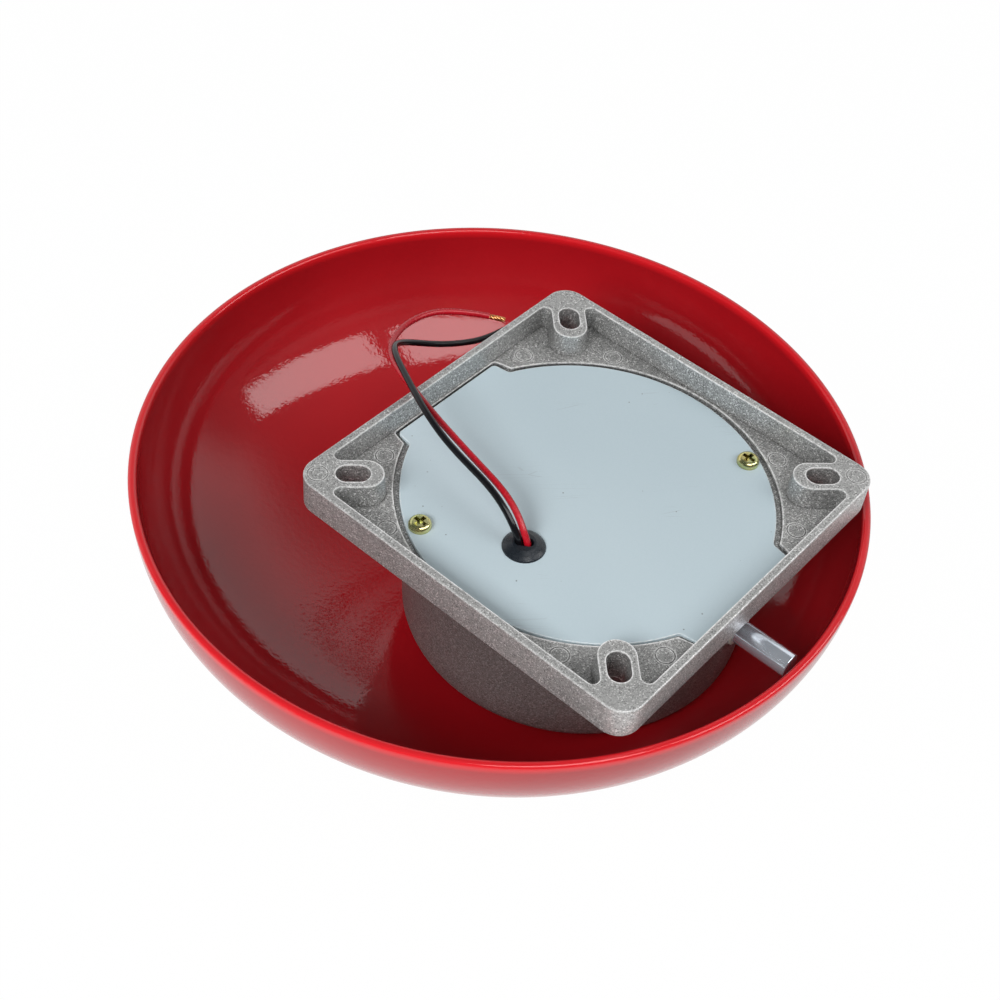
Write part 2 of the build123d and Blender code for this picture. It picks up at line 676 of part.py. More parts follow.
def polarity_diode():
    diode = xcyl(1.35, 5.0, 10.2, DIODE_Y, DIODE_Z) + xcyl(DIODE_LEG_R, *DIODE_X, DIODE_Y, DIODE_Z)
    for x in DIODE_X:
        bend = Pos(x, DIODE_Y, DIODE_Z) * Sphere(DIODE_LEG_R)
        diode += cyl(DIODE_LEG_R, -18.9, DIODE_Z, x, DIODE_Y) + bend
    return diode


def surge_varistor():
    disc = Pos(6.6, -34.6, BOARD_TOP + 4.2) * Rot(90, 0, 0) * Cylinder(3.6, 2.4)
    disc = soften(disc, disc.edges(), 0.9)
    return disc + block(5.0, 8.2, -35.1, -34.1, BOARD_TOP, BOARD_TOP + 1.6)


def motor_wire(s):
    # from a motor terminal up into the board
    x0, x1 = MOTOR_X + s * TERMINAL_X, s * MOTOR_WIRE_X
    path = Bezier(
        (x0, TERMINAL_END_Y - 0.02, -43.25), (x0, -24.0, -43.25),
        (x1, MOTOR_WIRE_Y, -36.0), (x1, MOTOR_WIRE_Y, -17.6),
    )
    return wire_along(path, 0.6)


save("circuit_board", circuit_board())
save("board_screws", pan_screws(1.2, 8.0, 2.3, 1.5, BOARD_POSTS, BOARD_TOP))
save("suppressor_capacitor", soften_end(cyl(3.4, BOARD_TOP, BOARD_TOP + 7.4, -7.2, -30.0), 0.5))
save("polarity_diode", polarity_diode())
save("surge_varistor", surge_varistor())
save("motor_wires", [motor_wire(s) for s in SIDES])
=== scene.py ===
"""Electric bell with a red gong, a cast aluminium housing and a motor-driven striker.

It lies on its front on a pale floor: the gong's crown is down (-Z) and its open rim is up.
The striker's line (u) runs diagonally in the XY plane, towards +X -Y; v crosses it,
towards +X +Y. Lengths are metres unless a name or comment says millimetres.
"""
import json
import math
import random

import bmesh
import bpy
from mathutils import Matrix, Vector


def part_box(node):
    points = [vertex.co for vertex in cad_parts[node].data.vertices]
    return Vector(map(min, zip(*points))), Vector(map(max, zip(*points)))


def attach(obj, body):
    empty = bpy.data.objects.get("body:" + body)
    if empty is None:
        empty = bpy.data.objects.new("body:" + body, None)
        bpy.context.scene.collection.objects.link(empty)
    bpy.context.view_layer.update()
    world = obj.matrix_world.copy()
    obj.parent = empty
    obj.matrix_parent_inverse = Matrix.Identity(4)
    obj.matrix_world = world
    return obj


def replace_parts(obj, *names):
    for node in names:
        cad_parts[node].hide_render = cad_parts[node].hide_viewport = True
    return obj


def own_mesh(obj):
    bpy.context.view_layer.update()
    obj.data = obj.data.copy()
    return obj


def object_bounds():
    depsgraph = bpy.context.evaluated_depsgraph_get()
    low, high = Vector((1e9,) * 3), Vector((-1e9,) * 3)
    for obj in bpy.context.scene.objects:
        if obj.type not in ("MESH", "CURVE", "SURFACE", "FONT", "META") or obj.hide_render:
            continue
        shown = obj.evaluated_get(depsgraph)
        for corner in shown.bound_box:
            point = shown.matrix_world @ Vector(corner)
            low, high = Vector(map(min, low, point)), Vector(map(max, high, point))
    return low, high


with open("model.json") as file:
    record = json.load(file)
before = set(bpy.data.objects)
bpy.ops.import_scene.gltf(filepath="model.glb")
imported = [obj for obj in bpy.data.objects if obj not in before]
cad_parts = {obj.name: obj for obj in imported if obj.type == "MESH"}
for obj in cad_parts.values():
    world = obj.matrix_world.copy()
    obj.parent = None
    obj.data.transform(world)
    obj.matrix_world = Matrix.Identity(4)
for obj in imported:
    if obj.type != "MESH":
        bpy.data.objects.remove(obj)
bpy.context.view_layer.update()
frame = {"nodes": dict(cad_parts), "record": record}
DIAGONAL = math.sqrt(0.5)


def row(u, v, z):
    """Millimetres along (u), across (v) and above (z) the striker's line, as metres in X, Y, Z."""
    return Vector(((u + v) * DIAGONAL / 1000, (v - u) * DIAGONAL / 1000, z / 1000))


# ---------------------------------------------------------------- node helpers
MIDDLE = (0.3, 0.7)  # the band that holds most values of a noise texture
MATERIALS = {}
SURFACE_INPUTS = {
    "color": "Base Color",
    "metal": "Metallic",
    "rough": "Roughness",
    "spec": "Specular IOR Level",
    "subsurface": "Subsurface Weight",
    "coat": "Coat Weight",
    "coat_rough": "Coat Roughness",
    "normal": "Normal",
    "coat_normal": "Coat Normal",
}


class Nodes:
    """An emptied node tree with short calls that add nodes and return their outputs."""

    def __init__(self, owner, output_kind):
        owner.use_nodes = True
        self.tree = owner.node_tree
        self.tree.nodes.clear()
        self.output = self.node(output_kind)

    def node(self, kind, inputs=None, **settings):
        node = self.tree.nodes.new("ShaderNode" + kind)
        for key, value in settings.items():
            setattr(node, key, value)
        for key, value in (inputs or {}).items():
            self.put(node.inputs[key], value)
        return node

    def put(self, socket, value):
        """Link an output to the socket, or set the socket to a plain value."""
        if isinstance(value, bpy.types.NodeSocket):
            self.tree.links.new(value, socket)
        elif socket.type == "RGBA":
            socket.default_value = (*value, 1.0)
        else:
            socket.default_value = value

    def show(self, shader):
        self.put(self.output.inputs[0], shader)

    def math(self, operation, *values):
        return self.node("Math", dict(enumerate(values)), operation=operation).outputs[0]

    def times(self, first, second):
        return self.math("MULTIPLY", first, second)

    def remap(self, value, over=MIDDLE, to=(0.0, 1.0), **settings):
        """Map the band 'over' onto the band 'to', held at both ends."""
        return self.node("MapRange", {
            "Value": value, "From Min": over[0], "From Max": over[1],
            "To Min": to[0], "To Max": to[1]}, **settings).outputs[0]

    def glow(self, kind, strength):
        """White Emission or Background."""
        return self.node(kind, {"Color": (1, 1, 1), "Strength": strength}).outputs[0]

    def mix_shader(self, factor, first, second):
        return self.node("MixShader", {0: factor, 1: first, 2: second}).outputs[0]


class Material(Nodes):
    """A Principled material, filed in MATERIALS under its slot name."""

    def __init__(self, name):
        material = bpy.data.materials.new(name)
        super().__init__(material, "OutputMaterial")
        self.principled = self.node("BsdfPrincipled")
        self.show(self.principled.outputs[0])
        self.coords = self.node("TexCoord").outputs["Object"]
        MATERIALS[name] = material

    def surface(self, **values):
        for key, value in values.items():
            self.put(self.principled.inputs[SURFACE_INPUTS[key]], value)

    def noise(self, scale, detail=2.0, rough=0.5, coords=None):
        return self.node("TexNoise", {
            "Scale": scale, "Detail": detail, "Roughness": rough,
            "Vector": coords or self.coords}).outputs["Fac"]

    def voronoi(self, scale, feature="F1", coords=None, out="Distance", randomness=1.0):
        return self.node("TexVoronoi", {
            "Scale": scale, "Randomness": randomness,
            "Vector": coords or self.coords}, feature=feature).outputs[out]

    def bands(self, scale, distortion):
        """Bands stacked along Z."""
        return self.node("TexWave", {
            "Scale": scale, "Distortion": distortion, "Vector": self.coords},
            wave_type="BANDS", bands_direction="Z").outputs["Fac"]

    def height(self):
        return self.node("SeparateXYZ", {0: self.coords}).outputs["Z"]

    def stretch(self, scale, turn=0.0):
        """Object coordinates scaled per axis and turned about Z (radians)."""
        return self.node("Mapping", {
            "Scale": scale, "Rotation": (0, 0, turn), "Vector": self.coords}).outputs[0]

    def ramp(self, factor, stops):
        node = self.node("ValToRGB", {0: factor})
        elements = node.color_ramp.elements
        while len(elements) > 1:
            elements.remove(elements[-1])
        for i, (position, color) in enumerate(stops):
            element = elements[0] if i == 0 else elements.new(position)
            element.position = position
            element.color = (*color, 1.0)
        return node.outputs[0]

    def mix(self, factor, base, top):
        """Colour 'top' laid over 'base' where factor is 1."""
        return self.node("Mix", {0: factor, 6: base, 7: top}, data_type="RGBA").outputs[2]

    def weighted_sum(self, *terms):
        """Sum of (value, weight) terms."""
        total = None
        for value, weight in terms:
            part = self.times(value, weight)
            total = part if total is None else self.math("ADD", total, part)
        return total

    def bump(self, height, strength, distance=0.0001):
        return self.node("Bump", {
            "Strength": strength, "Distance": distance, "Height": height}).outputs[0]

    def edges(self, radius, over):
        """1 along sharp edges, 0 on faces."""
        bevel = self.node("Bevel", {"Radius": radius}, samples=4)
        geometry = self.node("NewGeometry")
        dot = self.node("VectorMath", {0: bevel.outputs[0], 1: geometry.outputs["Normal"]},
                        operation="DOT_PRODUCT")
        return self.remap(self.math("SUBTRACT", 1.0, dot.outputs["Value"]), over=over)

    def occlusion(self, distance, samples, inside=False):
        """1 in the open, falling towards 0 in corners (or at edges, seen from inside)."""
        return self.node("AmbientOcclusion", {"Distance": distance},
                         samples=samples, inside=inside).outputs["AO"]


# ---------------------------------------------------------------- materials
def red_paint():
    m = Material("red_paint")
    broad = m.noise(scale=18, detail=3)
    color = m.mix(m.remap(broad, over=(0.35, 0.65)),
                  base=(0.352, 0.0058, 0.0102), top=(0.408, 0.0070, 0.0122))
    mottle = m.noise(scale=900, rough=0.6)
    color = m.mix(m.remap(mottle, to=(0.0, 0.22)), color, top=(0.44, 0.008, 0.014))
    # orange peel at two sizes, with a few dust nibs under the gloss
    peel_mid = m.noise(scale=520, rough=0.55)
    peel_fine = m.noise(scale=1100, rough=0.6)
    dust = m.remap(m.voronoi(scale=260), over=(0.0, 0.035), to=(1.0, 0.0))
    dust_patches = m.remap(m.noise(scale=35, detail=1), over=(0.56, 0.60))
    dust = m.times(dust, dust_patches)
    relief = m.weighted_sum((peel_mid, 0.50), (peel_fine, 0.30), (dust, 0.8))
    normal = m.bump(relief, strength=0.30, distance=0.00022)
    # painted light: brighter towards the gong's rim, where the up-facing lip catches more light
    rim = m.remap(m.height(), over=(-0.0162, -0.0146))
    color = m.mix(rim, color, top=(0.640, 0.0100, 0.0165))
    m.surface(color=color, rough=m.remap(broad, to=(0.52, 0.60)), coat=1.0,
              coat_rough=0.022, normal=normal, coat_normal=normal, spec=0.10)


def cast_aluminium():
    m = Material("cast_aluminium")
    fine = m.noise(scale=3200, rough=0.7)
    mid = m.noise(scale=1100, detail=3, rough=0.6)
    broad = m.noise(scale=45, detail=3)
    cells = m.voronoi(scale=3400, out="Color")
    grain = m.node("SeparateColor", {0: cells}).outputs[0]
    color = m.mix(m.remap(broad), base=(0.385, 0.385, 0.380), top=(0.465, 0.465, 0.459))
    # painted shade in the recesses, which stay darker than the top faces
    recess_painted_shade = m.remap(m.occlusion(0.011, samples=3), over=(0.97, 0.55), to=(0.0, 0.60))
    color = m.mix(recess_painted_shade, color, top=(0.16, 0.16, 0.157))
    color = m.mix(m.remap(fine, over=(0.48, 0.66), to=(0.0, 0.58)), color,
                  top=(0.70, 0.70, 0.69))
    color = m.mix(m.remap(fine, over=(0.49, 0.34), to=(0.0, 0.54)), color,
                  top=(0.125, 0.123, 0.120))
    # blasted grain: bright facets and dark pits
    color = m.mix(m.remap(grain, over=(0.82, 0.95), to=(0.0, 0.75)), color,
                  top=(0.95, 0.95, 0.94))
    color = m.mix(m.remap(grain, over=(0.18, 0.05), to=(0.0, 0.60)), color,
                  top=(0.09, 0.088, 0.086))
    # painted shade, tinted by painted red bounce light from the gong, on the housing below the
    # flange
    cup_painted_shade = m.remap(m.height(), over=(-0.0105, -0.0190), to=(0.0, 0.60))
    color = m.mix(cup_painted_shade, color, top=(0.095, 0.070, 0.066))
    # darker patches left by the mould
    stain = m.remap(m.noise(scale=160, detail=4, rough=0.6), over=(0.52, 0.72), to=(0.0, 0.30))
    color = m.mix(stain, color, top=(0.19, 0.188, 0.185))
    # bright worn edges, partly a painted highlight along every edge
    edge = m.remap(m.occlusion(0.00065, samples=8, inside=True), over=(0.90, 0.68))
    edge_wear_and_highlight = m.times(edge, m.remap(mid, over=(0.34, 0.54), to=(0.30, 1.0)))
    color = m.mix(m.times(edge_wear_and_highlight, 0.95), color, top=(0.97, 0.97, 0.96))
    # painted shade in narrow grooves and gaps
    groove_painted_shade = m.remap(m.occlusion(0.0013, samples=3), over=(0.30, 0.62), to=(0.88, 0.0))
    color = m.mix(groove_painted_shade, color, top=(0.02, 0.02, 0.019))
    relief = m.weighted_sum((fine, 0.5), (mid, 0.6), (grain, 0.16))
    m.surface(color=color, metal=m.remap(edge_wear_and_highlight, over=(0.0, 1.0), to=(0.55, 0.25)),
              rough=m.remap(grain, over=(0.1, 0.95), to=(0.58, 0.30)),
              normal=m.bump(relief, strength=0.34, distance=0.00014), spec=0.4)


def cover_paint():
    m = Material("cover_paint")
    broad = m.noise(scale=14)
    color = m.mix(m.remap(broad), base=(0.485, 0.590, 0.640), top=(0.520, 0.625, 0.672))
    grain = m.noise(scale=3200, rough=0.6)
    color = m.mix(m.remap(grain, over=(0.35, 0.65), to=(0.0, 0.12)), color,
                  top=(0.66, 0.74, 0.78))
    # sparse dark specks and short scratches
    speck = m.remap(m.voronoi(scale=230), over=(0.035, 0.060), to=(1.0, 0.0))
    speck_patches = m.noise(scale=60, detail=1, rough=0.4, coords=m.stretch((1, 1, 1)))
    speck = m.times(speck, m.remap(speck_patches, over=(0.47, 0.52)))
    color = m.mix(m.times(speck, 0.8), color, top=(0.10, 0.11, 0.12))
    scratch = m.voronoi(scale=30, feature="DISTANCE_TO_EDGE",
                        coords=m.stretch((1.0, 14.0, 1.0), turn=0.7))
    scratch = m.remap(scratch, over=(0.0, 0.012), to=(1.0, 0.0))
    scratch = m.times(scratch, m.remap(m.noise(scale=55), over=(0.58, 0.64)))
    color = m.mix(m.times(scratch, 0.35), color, top=(0.25, 0.27, 0.29))
    # bare steel along the edges
    edge = m.times(m.edges(radius=0.0005, over=(0.008, 0.07)),
                   m.remap(m.noise(scale=1400, rough=0.6), over=(0.36, 0.54)))
    color = m.mix(m.times(edge, 0.9), color, top=(0.86, 0.86, 0.84))
    m.surface(color=color, rough=m.remap(broad, to=(0.36, 0.46)),
              normal=m.bump(grain, strength=0.10), spec=0.5)


def yellow_zinc():
    m = Material("yellow_zinc")
    # iridescent passivation, dark in the corners
    color = m.ramp(m.noise(scale=380), stops=[
        (0.25, (0.62, 0.50, 0.16)), (0.45, (0.78, 0.72, 0.34)),
        (0.62, (0.58, 0.66, 0.30)), (0.8, (0.72, 0.52, 0.30))])
    corner = m.remap(m.occlusion(0.0012, samples=4), over=(0.35, 0.9), to=(0.75, 0.0))
    color = m.mix(corner, color, top=(0.10, 0.08, 0.02))
    fine = m.noise(scale=1800, rough=0.6)
    m.surface(color=color, metal=1.0, rough=m.remap(fine, to=(0.14, 0.30)),
              normal=m.bump(fine, strength=0.08))


def board_laminate():
    m = Material("board_laminate")
    weave = m.noise(scale=2500)
    tracks = m.voronoi(scale=260, feature="DISTANCE_TO_EDGE", randomness=0.35)
    color = m.mix(m.remap(tracks, over=(0.10, 0.14), to=(1.0, 0.0)),
                  base=(0.012, 0.10, 0.035), top=(0.03, 0.20, 0.07))
    m.surface(color=color, rough=m.remap(weave, to=(0.28, 0.4)),
              normal=m.bump(tracks, strength=0.15), coat=0.4)


def lamination():
    m = Material("lamination")
    sheets = m.bands(scale=620, distortion=0.2)
    color = m.mix(sheets, base=(0.16, 0.16, 0.17), top=(0.42, 0.42, 0.43))
    m.surface(color=color, metal=1.0, rough=m.remap(m.noise(scale=900), to=(0.35, 0.5)),
              normal=m.bump(sheets, strength=0.4))


def enamel_wire():
    m = Material("enamel_wire")
    turns = m.bands(scale=900, distortion=1.0)
    color = m.mix(turns, base=(0.22, 0.05, 0.015), top=(0.62, 0.22, 0.08))
    m.surface(color=color, metal=0.9, rough=m.remap(m.noise(scale=900), to=(0.22, 0.35)),
              normal=m.bump(turns, strength=0.6, distance=0.0002), coat=0.5)


def metal(name, dark, light, rough, grain, bump, brushed=None, metalness=1.0, edge=None):
    """Plain metal; 'brushed' stretches the grain, 'edge' is the colour of worn edges."""
    m = Material(name)
    coords = m.stretch(brushed) if brushed else None
    fine = m.noise(scale=grain, detail=3, rough=0.6, coords=coords)
    color = m.mix(m.remap(m.noise(scale=120, detail=3)), base=dark, top=light)
    if edge:
        wear = m.times(m.edges(radius=0.0002, over=(0.05, 0.3)), 0.6)
        color = m.mix(wear, color, top=edge)
    m.surface(color=color, metal=metalness, rough=m.remap(fine, to=rough),
              normal=m.bump(fine, strength=bump))


def plastic(name, dark, light, rough, grain, bump, **extras):
    """Plain non-metal; 'extras' are further surface values."""
    m = Material(name)
    fine = m.noise(scale=grain, rough=0.6)
    color = m.mix(m.remap(m.noise(scale=60)), base=dark, top=light)
    m.surface(color=color, rough=m.remap(fine, to=rough),
              normal=m.bump(fine, strength=bump), **extras)


# slot, dark colour, light colour, roughness band, grain scale, bump strength, extras
METALS = [
    ("copper", (0.72, 0.30, 0.10), (0.90, 0.48, 0.20), (0.18, 0.32), 2500, 0.10, {}),
    ("chrome", (0.74, 0.82, 0.93), (0.84, 0.90, 0.98), (0.12, 0.20), 700, 0.03,
     {"metalness": 0.82}),
    ("zinc_steel", (0.46, 0.48, 0.52), (0.60, 0.61, 0.62), (0.30, 0.44), 300, 0.03,
     {"edge": (0.75, 0.75, 0.75)}),
    ("spring_steel", (0.05, 0.05, 0.055), (0.10, 0.10, 0.11), (0.3, 0.45), 1200, 0.08,
     {"edge": (0.35, 0.35, 0.36)}),
    ("spring_wire", (0.50, 0.50, 0.50), (0.62, 0.62, 0.62), (0.2, 0.3), 2500, 0.08, {}),
    ("screw_zinc", (0.52, 0.54, 0.58), (0.66, 0.67, 0.69), (0.2, 0.34), 800, 0.08,
     {"edge": (0.8, 0.8, 0.8)}),
    ("bolt_zinc", (0.46, 0.48, 0.52), (0.62, 0.63, 0.65), (0.22, 0.38), 700, 0.10,
     {"edge": (0.8, 0.8, 0.8)}),
    ("can_steel", (0.50, 0.50, 0.52), (0.62, 0.62, 0.63), (0.18, 0.32), 200, 0.06,
     {"brushed": (1, 1, 9)}),
    ("bronze", (0.30, 0.18, 0.07), (0.46, 0.30, 0.13), (0.4, 0.55), 2500, 0.20, {}),
    ("phosphor_bronze", (0.52, 0.30, 0.12), (0.66, 0.42, 0.20), (0.25, 0.38), 500, 0.08,
     {"brushed": (1, 8, 1)}),
    ("ground_steel", (0.52, 0.52, 0.53), (0.66, 0.66, 0.67), (0.14, 0.26), 500, 0.05,
     {"brushed": (1, 1, 8)}),
    ("copper_bars", (0.60, 0.28, 0.12), (0.76, 0.42, 0.22), (0.22, 0.35), 900, 0.08, {}),
    ("brass_gear", (0.62, 0.42, 0.12), (0.78, 0.58, 0.22), (0.2, 0.34), 900, 0.06,
     {"edge": (0.9, 0.75, 0.4)}),
]
PLASTICS = [
    ("black_rubber", (0.007, 0.010, 0.014), (0.012, 0.016, 0.022), (0.24, 0.34), 1600, 0.10, {}),
    ("red_pvc", (0.42, 0.005, 0.014), (0.50, 0.008, 0.020), (0.20, 0.30), 1400, 0.06, {}),
    ("black_pvc", (0.0035, 0.0035, 0.0045), (0.006, 0.006, 0.008), (0.12, 0.18), 1400, 0.04,
     {"spec": 0.38}),
    ("acetal_white", (0.66, 0.64, 0.56), (0.72, 0.70, 0.62), (0.35, 0.45), 900, 0.05,
     {"subsurface": 0.1}),
    ("acetal_gear", (0.68, 0.66, 0.58), (0.76, 0.74, 0.66), (0.30, 0.42), 900, 0.05,
     {"subsurface": 0.1}),
    ("stop_rubber", (0.015, 0.015, 0.016), (0.03, 0.03, 0.03), (0.6, 0.8), 1500, 0.2, {}),
    ("cap_nylon", (0.66, 0.66, 0.63), (0.74, 0.74, 0.71), (0.4, 0.5), 1000, 0.06,
     {"subsurface": 0.1}),
    ("ferrite", (0.03, 0.03, 0.033), (0.06, 0.06, 0.062), (0.45, 0.6), 1500, 0.15, {}),
    ("carbon", (0.02, 0.02, 0.021), (0.05, 0.05, 0.05), (0.5, 0.7), 2500, 0.25, {}),
    ("fibre", (0.22, 0.06, 0.03), (0.34, 0.10, 0.05), (0.55, 0.7), 1800, 0.2, {}),
    ("capacitor_sleeve", (0.010, 0.016, 0.07), (0.016, 0.025, 0.10), (0.2, 0.3), 700, 0.05,
     {"coat": 0.4}),
    ("epoxy_black", (0.012, 0.012, 0.012), (0.025, 0.025, 0.025), (0.4, 0.5), 1500, 0.12, {}),
    ("varistor_blue", (0.015, 0.07, 0.32), (0.02, 0.10, 0.42), (0.22, 0.32), 500, 0.12,
     {"coat": 0.5}),
    ("wire_white", (0.62, 0.62, 0.60), (0.72, 0.72, 0.70), (0.35, 0.45), 1200, 0.05, {}),
]

for build in (red_paint, cast_aluminium, cover_paint, yellow_zinc, board_laminate,
              lamination, enamel_wire):
    build()
for build, table in ((metal, METALS), (plastic, PLASTICS)):
    for *columns, extras in table:
        build(*columns, **extras)


def paint_cad_pieces():
    slot_of = {part["node"]: part["material_slot"] for part in frame["record"]["subparts"]}
    for name, piece in frame["nodes"].items():
        material = MATERIALS[slot_of[name]]
        if not piece.material_slots:
            piece.data.materials.append(material)
        for slot in piece.material_slots:
            slot.link = "OBJECT"
            slot.material = material


paint_cad_pieces()


# ---------------------------------------------------------------- mesh helpers
def add_object(name, data):
    thing = bpy.data.objects.new(name, data)
    bpy.context.scene.collection.objects.link(thing)
    return thing


def mesh_object(name, bm):
    mesh = bpy.data.meshes.new(name)
    bm.to_mesh(mesh)
    bm.free()
    return add_object(name, mesh)


def bell_piece(name, bm, slot, sharp_degrees=35):
    """Smooth-shaded piece, fixed to the housing, creased where faces meet sharply."""
    bmesh.ops.recalc_face_normals(bm, faces=bm.faces[:])
    limit = math.radians(sharp_degrees)
    for face in bm.faces:
        face.smooth = True
    for edge in bm.edges:
        if len(edge.link_faces) == 2 and edge.calc_face_angle(0.0) > limit:
            edge.smooth = False
    piece = mesh_object(name, bm)
    piece.data.materials.append(MATERIALS[slot])
    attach(piece, "housing")
    return piece


def revolve(bm, profile, centre, segments):
    """Closed profile of (r, z) turned about the vertical line through centre."""
    rings = []
    for k in range(segments):
        angle = 2 * math.pi * k / segments
        cos, sin = math.cos(angle), math.sin(angle)
        rings.append([bm.verts.new((centre[0] + r * cos, centre[1] + r * sin, z))
                      for r, z in profile])
    count = len(profile)
    for k in range(segments):
        ring, after = rings[k], rings[(k + 1) % segments]
        for i in range(count):
            j = (i + 1) % count
            bm.faces.new((ring[i], ring[j], after[j], after[i]))


def tube(bm, points, radius, sides):
    """Round tube along the points, with flat end caps."""
    up = None
    previous = None
    for i, point in enumerate(points):
        tangent = (points[min(i + 1, len(points) - 1)] - points[max(i - 1, 0)]).normalized()
        if up is None:
            up = tangent.orthogonal().normalized()
        up = (up - tangent * up.dot(tangent)).normalized()
        side = tangent.cross(up)
        ring = []
        for k in range(sides):
            angle = 2 * math.pi * k / sides
            spoke = up * math.cos(angle) + side * math.sin(angle)
            ring.append(bm.verts.new(point + spoke * radius))
        if previous:
            for k in range(sides):
                j = (k + 1) % sides
                bm.faces.new((previous[k], previous[j], ring[j], ring[k]))
        else:
            bm.faces.new(ring[::-1])
        previous = ring
    bm.faces.new(previous)


# ---------------------------------------------------------------- gong
CROWN_FLAT = 0.014      # radius of the flat crown
GONG_BORE = 0.0033      # radius of the hole in the crown
GONG_WALL = 0.0023
DOME_POWER = 2.3        # exponent of the superellipse between crown and rim
LIP_ROUND = 0.00095     # rounding of the rim's two corners
LIP_GAP = 0.0003        # the dome stops this far short of the rounding
DOME_STEPS = 120
LIP_STEPS = 8
GONG_SEGMENTS = 288


def gong_shell():
    low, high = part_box("gong")
    centre = ((low[0] + high[0]) / 2, (low[1] + high[1]) / 2)
    radius = (high[0] - low[0]) / 2
    depth = high[2] - low[2]
    rim_z = high[2]
    outer, inner = [], []
    for i in range(DOME_STEPS + 1):
        angle = math.pi / 2 * i / DOME_STEPS
        sin, cos = math.sin(angle), max(0.0, math.cos(angle))
        r = CROWN_FLAT + (radius - CROWN_FLAT) * sin ** (2 / DOME_POWER)
        z = -depth * cos ** (2 / DOME_POWER)
        # outward normal of the superellipse, which sets the wall's direction
        across = max(0.0, (r - CROWN_FLAT) / (radius - CROWN_FLAT)) ** (DOME_POWER - 1)
        normal_r = across / (radius - CROWN_FLAT)
        normal_z = -max(0.0, -z / depth) ** (DOME_POWER - 1) / depth
        length = math.hypot(normal_r, normal_z)
        outer.append((r, rim_z + z))
        inner.append((r - GONG_WALL * normal_r / length,
                      rim_z + z - GONG_WALL * normal_z / length))
    dome_top = rim_z - LIP_ROUND - LIP_GAP
    outer = [point for point in outer if point[1] < dome_top]
    inner = [point for point in inner if point[1] < dome_top]
    angles = [math.pi / 2 * k / LIP_STEPS for k in range(LIP_STEPS + 1)]
    lip_z = rim_z - LIP_ROUND
    lip = [(radius - LIP_ROUND + LIP_ROUND * math.cos(a), lip_z + LIP_ROUND * math.sin(a))
           for a in angles]
    lip += [(radius - GONG_WALL + LIP_ROUND - LIP_ROUND * math.sin(a),
             lip_z + LIP_ROUND * math.cos(a)) for a in angles]
    profile = [(GONG_BORE, outer[0][1]), *outer, *lip, *inner[::-1], (GONG_BORE, inner[0][1])]
    bm = bmesh.new()
    revolve(bm, profile, centre, GONG_SEGMENTS)
    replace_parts(bell_piece("gong_shell", bm, "red_paint", sharp_degrees=50), "gong")


gong_shell()

# ---------------------------------------------------------------- bare copper
# free lead ends: start (u, v, z) in mm, direction (u, v, z)
LEAD_ENDS = [
    ((-62.2, 38.0, -13.0), (0.05, 1.0, -0.1)),
    ((-66.6, 36.1, -9.5), (0.75, 0.62, -0.2)),
]
OUTER_STRANDS = 6           # around one core strand
STRAND_RADIUS = 0.00022
STRAND_RING = 0.00048       # from lead centre to strand centre
STRAND_FLARE = 0.25         # share by which the ring widens at the tip
STRAND_TWIST = 4.2          # radians
STRAND_LENGTH = 0.0050
STRAND_UNEVEN = 0.0006      # longest cut from a strand
STRAND_SUNK = 0.0002        # start of the strand behind the lead's end
STRAND_STEPS = 14
TAIL_CENTRE_V = -26.0       # mm; the two tails lie either side of this point on u = 0
TAIL_OFFSET = 1.1           # mm
TAIL_ANGLE = math.radians(35)
TAIL_HEIGHTS = (-14.9, -16.0, -17.2, -18.2, -19.3)  # mm
TAIL_RADIUS = 0.00043


def lead_strands():
    """Twisted strands at the free ends, single tails into the board."""
    rng = random.Random(7)
    bm = bmesh.new()
    for start, heading in LEAD_ENDS:
        origin = row(*start)
        along = row(*heading).normalized()
        side = along.orthogonal().normalized()
        other = along.cross(side)
        for k in range(OUTER_STRANDS + 1):
            phase = 2 * math.pi * k / OUTER_STRANDS
            ring = 0.0 if k == OUTER_STRANDS else STRAND_RING
            length = STRAND_LENGTH - rng.uniform(0, STRAND_UNEVEN)
            points = []
            for i in range(STRAND_STEPS + 1):
                f = i / STRAND_STEPS
                angle = phase + f * STRAND_TWIST
                spread = ring * (1.0 + STRAND_FLARE * f)
                points.append(origin + along * (length * f - STRAND_SUNK)
                              + (side * math.cos(angle) + other * math.sin(angle)) * spread)
            tube(bm, points, STRAND_RADIUS, sides=8)
    for sign in (1, -1):
        u = sign * (TAIL_OFFSET * math.cos(TAIL_ANGLE))
        v = TAIL_CENTRE_V + sign * (TAIL_OFFSET * math.sin(TAIL_ANGLE))
        tube(bm, [row(u, v, z) for z in TAIL_HEIGHTS], TAIL_RADIUS, sides=12)
    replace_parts(bell_piece("lead_strands", bm, "copper"), "lead_conductors")


lead_strands()

# ---------------------------------------------------------------- return spring
# millimetres along the striker's line, except the wire radius
COIL_START, COIL_END = 31.17, 42.23
END_PITCH = 0.60            # advance of the closed first and last turns
COIL_RADIUS = 3.8
COIL_TURNS = 7
STEPS_PER_TURN = 28
COIL_WIRE_RADIUS = 0.00025


def return_coil():
    """Coil between clip and bush, at one fixed length."""
    low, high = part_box("return_spring")
    axis_z = (low[2] + high[2]) / 2 * 1000
    points = []
    for i in range(COIL_TURNS * STEPS_PER_TURN + 1):
        turn = i / STEPS_PER_TURN
        if turn <= 1:
            u = COIL_START + END_PITCH * turn
        elif turn >= COIL_TURNS - 1:
            u = COIL_END - END_PITCH * (COIL_TURNS - turn)
        else:
            open_length = COIL_END - COIL_START - 2 * END_PITCH
            u = COIL_START + END_PITCH + open_length * (turn - 1) / (COIL_TURNS - 2)
        angle = 2 * math.pi * turn
        points.append(row(u, COIL_RADIUS * math.sin(angle),
                          axis_z + COIL_RADIUS * math.cos(angle)))
    bm = bmesh.new()
    tube(bm, points, COIL_WIRE_RADIUS, sides=10)
    coil = bell_piece("return_coil", bm, "spring_wire")
    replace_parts(coil, "return_spring")
    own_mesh(coil)


return_coil()

